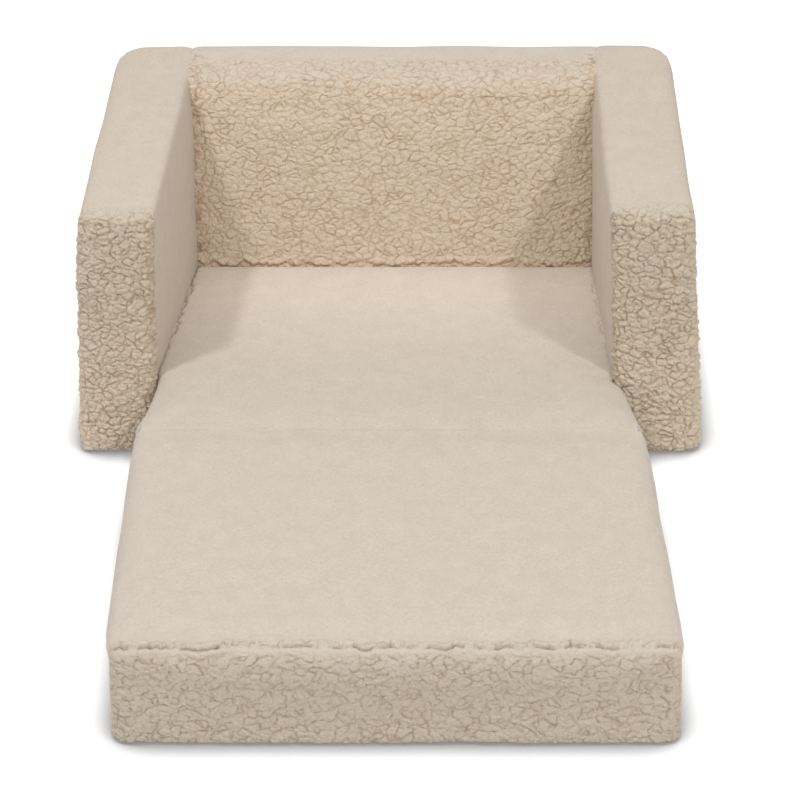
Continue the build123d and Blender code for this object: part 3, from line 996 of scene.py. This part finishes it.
class BuildLeaf(bpy.types.Operator):
    """Builds the leaf: smooth on top, curly at its free end, with a row of tufts along that seam"""

    bl_idname = "sofa.build_leaf"
    bl_label = "Leaf"

    def execute(self, context):
        sizes = context.scene.sofa_sizes
        half, low_down = 315 * MM, 60 * MM
        hinge, end = FOLD - JOINT_GAP, LEAF_END
        foot_out, foot_wider, hinge_skew = 3 * MM, 5 * MM, 1.5 * MM
        tight, rounded, edge_radius, pile_height = 1 * MM, 4 * MM, 12 * MM, 3.2 * MM
        seam_over, seam_reach, held_reach = 2 * MM, 40 * MM, 10 * MM
        side_bare, side_full = 2 * MM, 14 * MM
        tuft_place, tuft_half, tuft_end = 5 * MM, 4 * MM, 8 * MM
        front_bare, front_full = 2 * MM, 18 * MM
        curly_back, smooth_back, seam_back = end + 10 * MM, end + 18 * MM, end + 24 * MM
        border_over, border_back, fine_above = 7 * MM, end + 14 * MM, 100 * MM
        zip_left, zip_right = -283 * MM, 309 * MM

        def from_seam(points):
            """Distance from the seam over the end's top edge, up and back from it, and large low down."""
            away = points[:, 1] - end + points[:, 2] - sizes.leaf_end_height - seam_over
            return np.where((points[:, 2] < low_down) & (away > -seam_reach), 1.0, away)

        def from_side(points):
            """How clear of the leaf's sides a point lies, so that its tufts stay off them."""
            return smooth_step(half - np.abs(points[:, 0] - sizes.leaf_skew), side_bare, side_full)

        def curly(points):
            share = 1 - smooth_step(points[:, 1], curly_back, smooth_back)
            away = from_seam(points)
            tufts = (1 - smooth_step(np.abs(away - tuft_place), tuft_half, tuft_end)) * from_side(points)
            below = np.where(points[:, 2] < low_down, 1, smooth_step(-away, front_bare, front_full))
            return np.maximum(share * below, tufts)

        def detail(points, normals):
            rise, dark = stitched(points, from_seam(points), points[:, 0], 0.5, 300)
            near = (points[:, 1] < seam_back) * from_side(points)
            # Painted shade in the groove of the seam along the leaf's end
            return rise * near, dark * near

        def fine(points):
            near_seam = (points[:, 2] > fine_above) & (points[:, 1] < seam_back)
            return np.maximum(curly(points), near_seam | near_zip(points, hinge))

        def sherpa_side(points):
            wander = ragged(points, 61)
            below = (from_seam(points) < border_over + wander) | (points[:, 2] < low_down)
            return below & (points[:, 1] < border_back + wander)

        def seams(points):
            """The hinge's edges and the end's top edge. The latter holds less the lower a point lies."""
            below = np.maximum(sizes.leaf_end_height - held_reach - points[:, 2], 0)
            return np.minimum(hinge - points[:, 1], np.abs(from_seam(points)) + 2 * below)

        corners = [
            *level((-half, half), (end - foot_out, hinge), (FLOOR_GAP, FLOOR_GAP)),
            *level((-half, half), (end, hinge), (sizes.leaf_end_height, FOLD_HEIGHT)),
        ]
        radii = {
            (0, 4): sizes.leaf_corner, (1, 5): sizes.leaf_corner,
            (6, 7): tight, (2, 6): rounded, (3, 7): rounded,
        }
        obj = block("leaf_cushion", corners, edge_radius, radii)
        fill(obj, seams)
        points = points_of(obj.data)
        along = np.clip((points[:, 1] - hinge) / (end - hinge), 0, 1)
        points[:, 0] *= 1 + along * (1 - points[:, 2] / FOLD_HEIGHT) * foot_wider / half
        points[:, 0] += hinge_skew + (sizes.leaf_skew - hinge_skew) * along
        set_points(obj.data, points)
        dress(obj, 350, detail, fine, curly, height=pile_height, stretch=(1.1, 1, 0.9))
        zip_dent(obj, hinge, hinge - ZIP_DEPTH, zip_left, zip_right)
        nodes = [
            "leaf_foam", "leaf_top_panel", "leaf_under_panel", "leaf_end_panel", "leaf_hinge_panel",
            "leaf_left_panel", "leaf_right_panel",
        ]
        finish_piece(obj, "leaf", nodes, "leaf_sherpa", sherpa_side, base_below=0)
        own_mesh(obj)
        return {"FINISHED"}


class BuildFold(bpy.types.Operator):
    """Builds the fleece that runs over the fold, from the seat's top to the leaf's"""

    bl_idname = "sofa.build_fold"
    bl_label = "Fold"

    def execute(self, context):
        half_width, reach, thickness, to_right = 306 * MM, 13 * MM, 3 * MM, 1.5 * MM
        flat_half, edge_drop, middle_drop = 8 * MM, 2.2 * MM, 0.3 * MM
        bm = bmesh.new()
        grid = bmesh.ops.create_grid(bm, x_segments=306, y_segments=20, size=1)
        for vert in grid["verts"]:
            y = vert.co.y * reach
            sink = middle_drop + edge_drop * max(0.0, (abs(y) - flat_half) / (reach - flat_half)) ** 2
            vert.co = (vert.co.x * half_width + to_right, FOLD + y, FOLD_HEIGHT - sink)
        under = bmesh.ops.extrude_face_region(bm, geom=bm.faces[:])
        lowered = [item for item in under["geom"] if isinstance(item, bmesh.types.BMVert)]
        bmesh.ops.translate(bm, verts=lowered, vec=(0, 0, -thickness))
        bmesh.ops.recalc_face_normals(bm, faces=bm.faces)
        mesh = bpy.data.meshes.new("fold_cover")
        bm.to_mesh(mesh)
        bm.free()
        obj = link("fold_cover", mesh)
        mesh.materials.append(material("fleece"))
        mesh.polygons.foreach_set("use_smooth", np.ones(len(mesh.polygons), bool))
        set_attribute(mesh, "crack", np.zeros(len(mesh.vertices)))
        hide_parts("fold_strip")
        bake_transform(obj)
        return {"FINISHED"}


ZIP_LOOKS = {
    "upper_tape": "zip_tape", "lower_tape": "zip_tape", "coil": "zip_coil", "slider": "zip_slider",
}


class FinishZips(bpy.types.Operator):
    """Gives the two zips their woven tapes, coils and sliders"""

    bl_idname = "sofa.finish_zips"
    bl_label = "Zips"

    def execute(self, context):
        for zip_name, (part, look) in itertools.product(("rear_zip", "leaf_zip"), ZIP_LOOKS.items()):
            for slot in bpy.data.objects[f"{zip_name}_{part}"].material_slots:
                slot.material = material(look)
        return {"FINISHED"}


# Stage
SEAT_MIDDLE = (0, REAR - 0.3, 0.1)
LIGHTS = {
    # name: place, what it shines on, size, power in watts
    "overhead": ((0, 1.0, 2.9), (0, 0.1, 0), 1.8, 12),
    "left_key": ((-1.2, -0.8, 2.9), SEAT_MIDDLE, 0.3, 26),
    "right_key": ((1.5, -1.55, 2.9), SEAT_MIDDLE, 0.3, 28),
    "front_fill": ((0.2, -3.4, 0.7), (0, 0, 0.1), 1.8, 18),
}
WORLD_COLOUR = (1.0, 0.945, 0.885, 1.0)
WORLD_STRENGTH = 0.61
FLOOR_SIZE = 14.0

# The photograph, in pixels, and where it was taken from
PHOTO_WIDTH = 800
FOCAL_PIXELS = 2700
CENTRE_SHIFT = (-62, -60)
SENSOR = 36
CAMERA_PLACE = (0.0909, ARM_FRONT - 2.9292, 1.9167)
CAMERA_DOWN = 30.892


def floor_look():
    """White floor that keeps the soft shadow close round the sofa's foot and is bright elsewhere."""
    shadow_reach = 50 * MM
    graph = Graph("white_floor")
    diffuse = graph.node("ShaderNodeBsdfDiffuse", {}, (0.96, 0.96, 0.96, 1.0), 1.0)
    seen = graph.node("ShaderNodeLightPath", {})
    near = graph.node("ShaderNodeAmbientOcclusion", {"samples": 16}, Distance=shadow_reach, out="AO")
    glow = graph.node("ShaderNodeEmission", {}, (1.0, 1.0, 1.0, 1.0), 1.2)
    shadow = graph.node("ShaderNodeEmission", {}, (0.24, 0.24, 0.25, 1.0), 1.0)
    look = graph.node("ShaderNodeMixShader", {}, graph.range(near, 0.42, 0.92), shadow, glow)
    return graph.finish(graph.node("ShaderNodeMixShader", {}, seen * 0.8, diffuse, look))


def softbox(name, place, target, size, power):
    light = bpy.data.lights.new(name, "AREA")
    light.shape = "DISK"
    light.size = size
    light.energy = power
    obj = link(name, light)
    obj.location = place
    obj.rotation_euler = (Vector(target) - Vector(place)).to_track_quat("-Z", "Y").to_euler()


class BuildStage(bpy.types.Operator):
    """Sets the white floor, the soft lights and the photograph's camera"""

    bl_idname = "sofa.build_stage"
    bl_label = "Stage"

    def execute(self, context):
        scene = context.scene
        bm = bmesh.new()
        bmesh.ops.create_grid(bm, x_segments=1, y_segments=1, size=FLOOR_SIZE)
        mesh = bpy.data.meshes.new("floor")
        bm.to_mesh(mesh)
        bm.free()
        mesh.materials.append(floor_look())
        link("floor", mesh)

        world = bpy.data.worlds.new("studio")
        scene.world = world
        world.use_nodes = True
        background = world.node_tree.nodes["Background"]
        background.inputs["Color"].default_value = WORLD_COLOUR
        background.inputs["Strength"].default_value = WORLD_STRENGTH
        for name, (place, target, size, power) in LIGHTS.items():
            softbox(name, place, target, size, power)

        camera = bpy.data.cameras.new("camera")
        camera.sensor_width = SENSOR
        camera.lens = FOCAL_PIXELS * SENSOR / PHOTO_WIDTH
        camera.shift_x, camera.shift_y = (shift / PHOTO_WIDTH for shift in CENTRE_SHIFT)
        camera.clip_end = 50
        obj = link("camera", camera)
        obj.location = CAMERA_PLACE
        obj.rotation_euler = (math.radians(90 - CAMERA_DOWN), 0, 0)
        scene.camera = obj
        scene.view_settings.view_transform = "Standard"
        return {"FINISHED"}


class SofaPanel(bpy.types.Panel):
    """Sofa's building steps in the sidebar"""

    bl_idname = "VIEW3D_PT_sofa"
    bl_label = "Sofa"
    bl_space_type = "VIEW_3D"
    bl_region_type = "UI"
    bl_category = "Sofa"

    def draw(self, context):
        for operator in OPERATORS:
            self.layout.operator(operator.bl_idname)


OPERATORS = (BuildArms, BuildBack, BuildSeat, BuildLeaf, BuildFold, FinishZips, BuildStage)
CLASSES = (SofaSizes, SofaColours, *OPERATORS, SofaPanel)


def register():
    for cls in CLASSES:
        bpy.utils.register_class(cls)
    bpy.types.Scene.sofa_sizes = PointerProperty(type=SofaSizes)
    bpy.types.Scene.sofa_colours = PointerProperty(type=SofaColours)


def unregister():
    del bpy.types.Scene.sofa_colours
    del bpy.types.Scene.sofa_sizes
    for cls in reversed(CLASSES):
        bpy.utils.unregister_class(cls)


def main():
    register()
    bpy.ops.sofa.build_arms()
    bpy.ops.sofa.build_back()
    bpy.ops.sofa.build_seat()
    bpy.ops.sofa.build_leaf()
    bpy.ops.sofa.build_fold()
    bpy.ops.sofa.finish_zips()
    bpy.ops.sofa.build_stage()


if __name__ == "__main__":
    main()
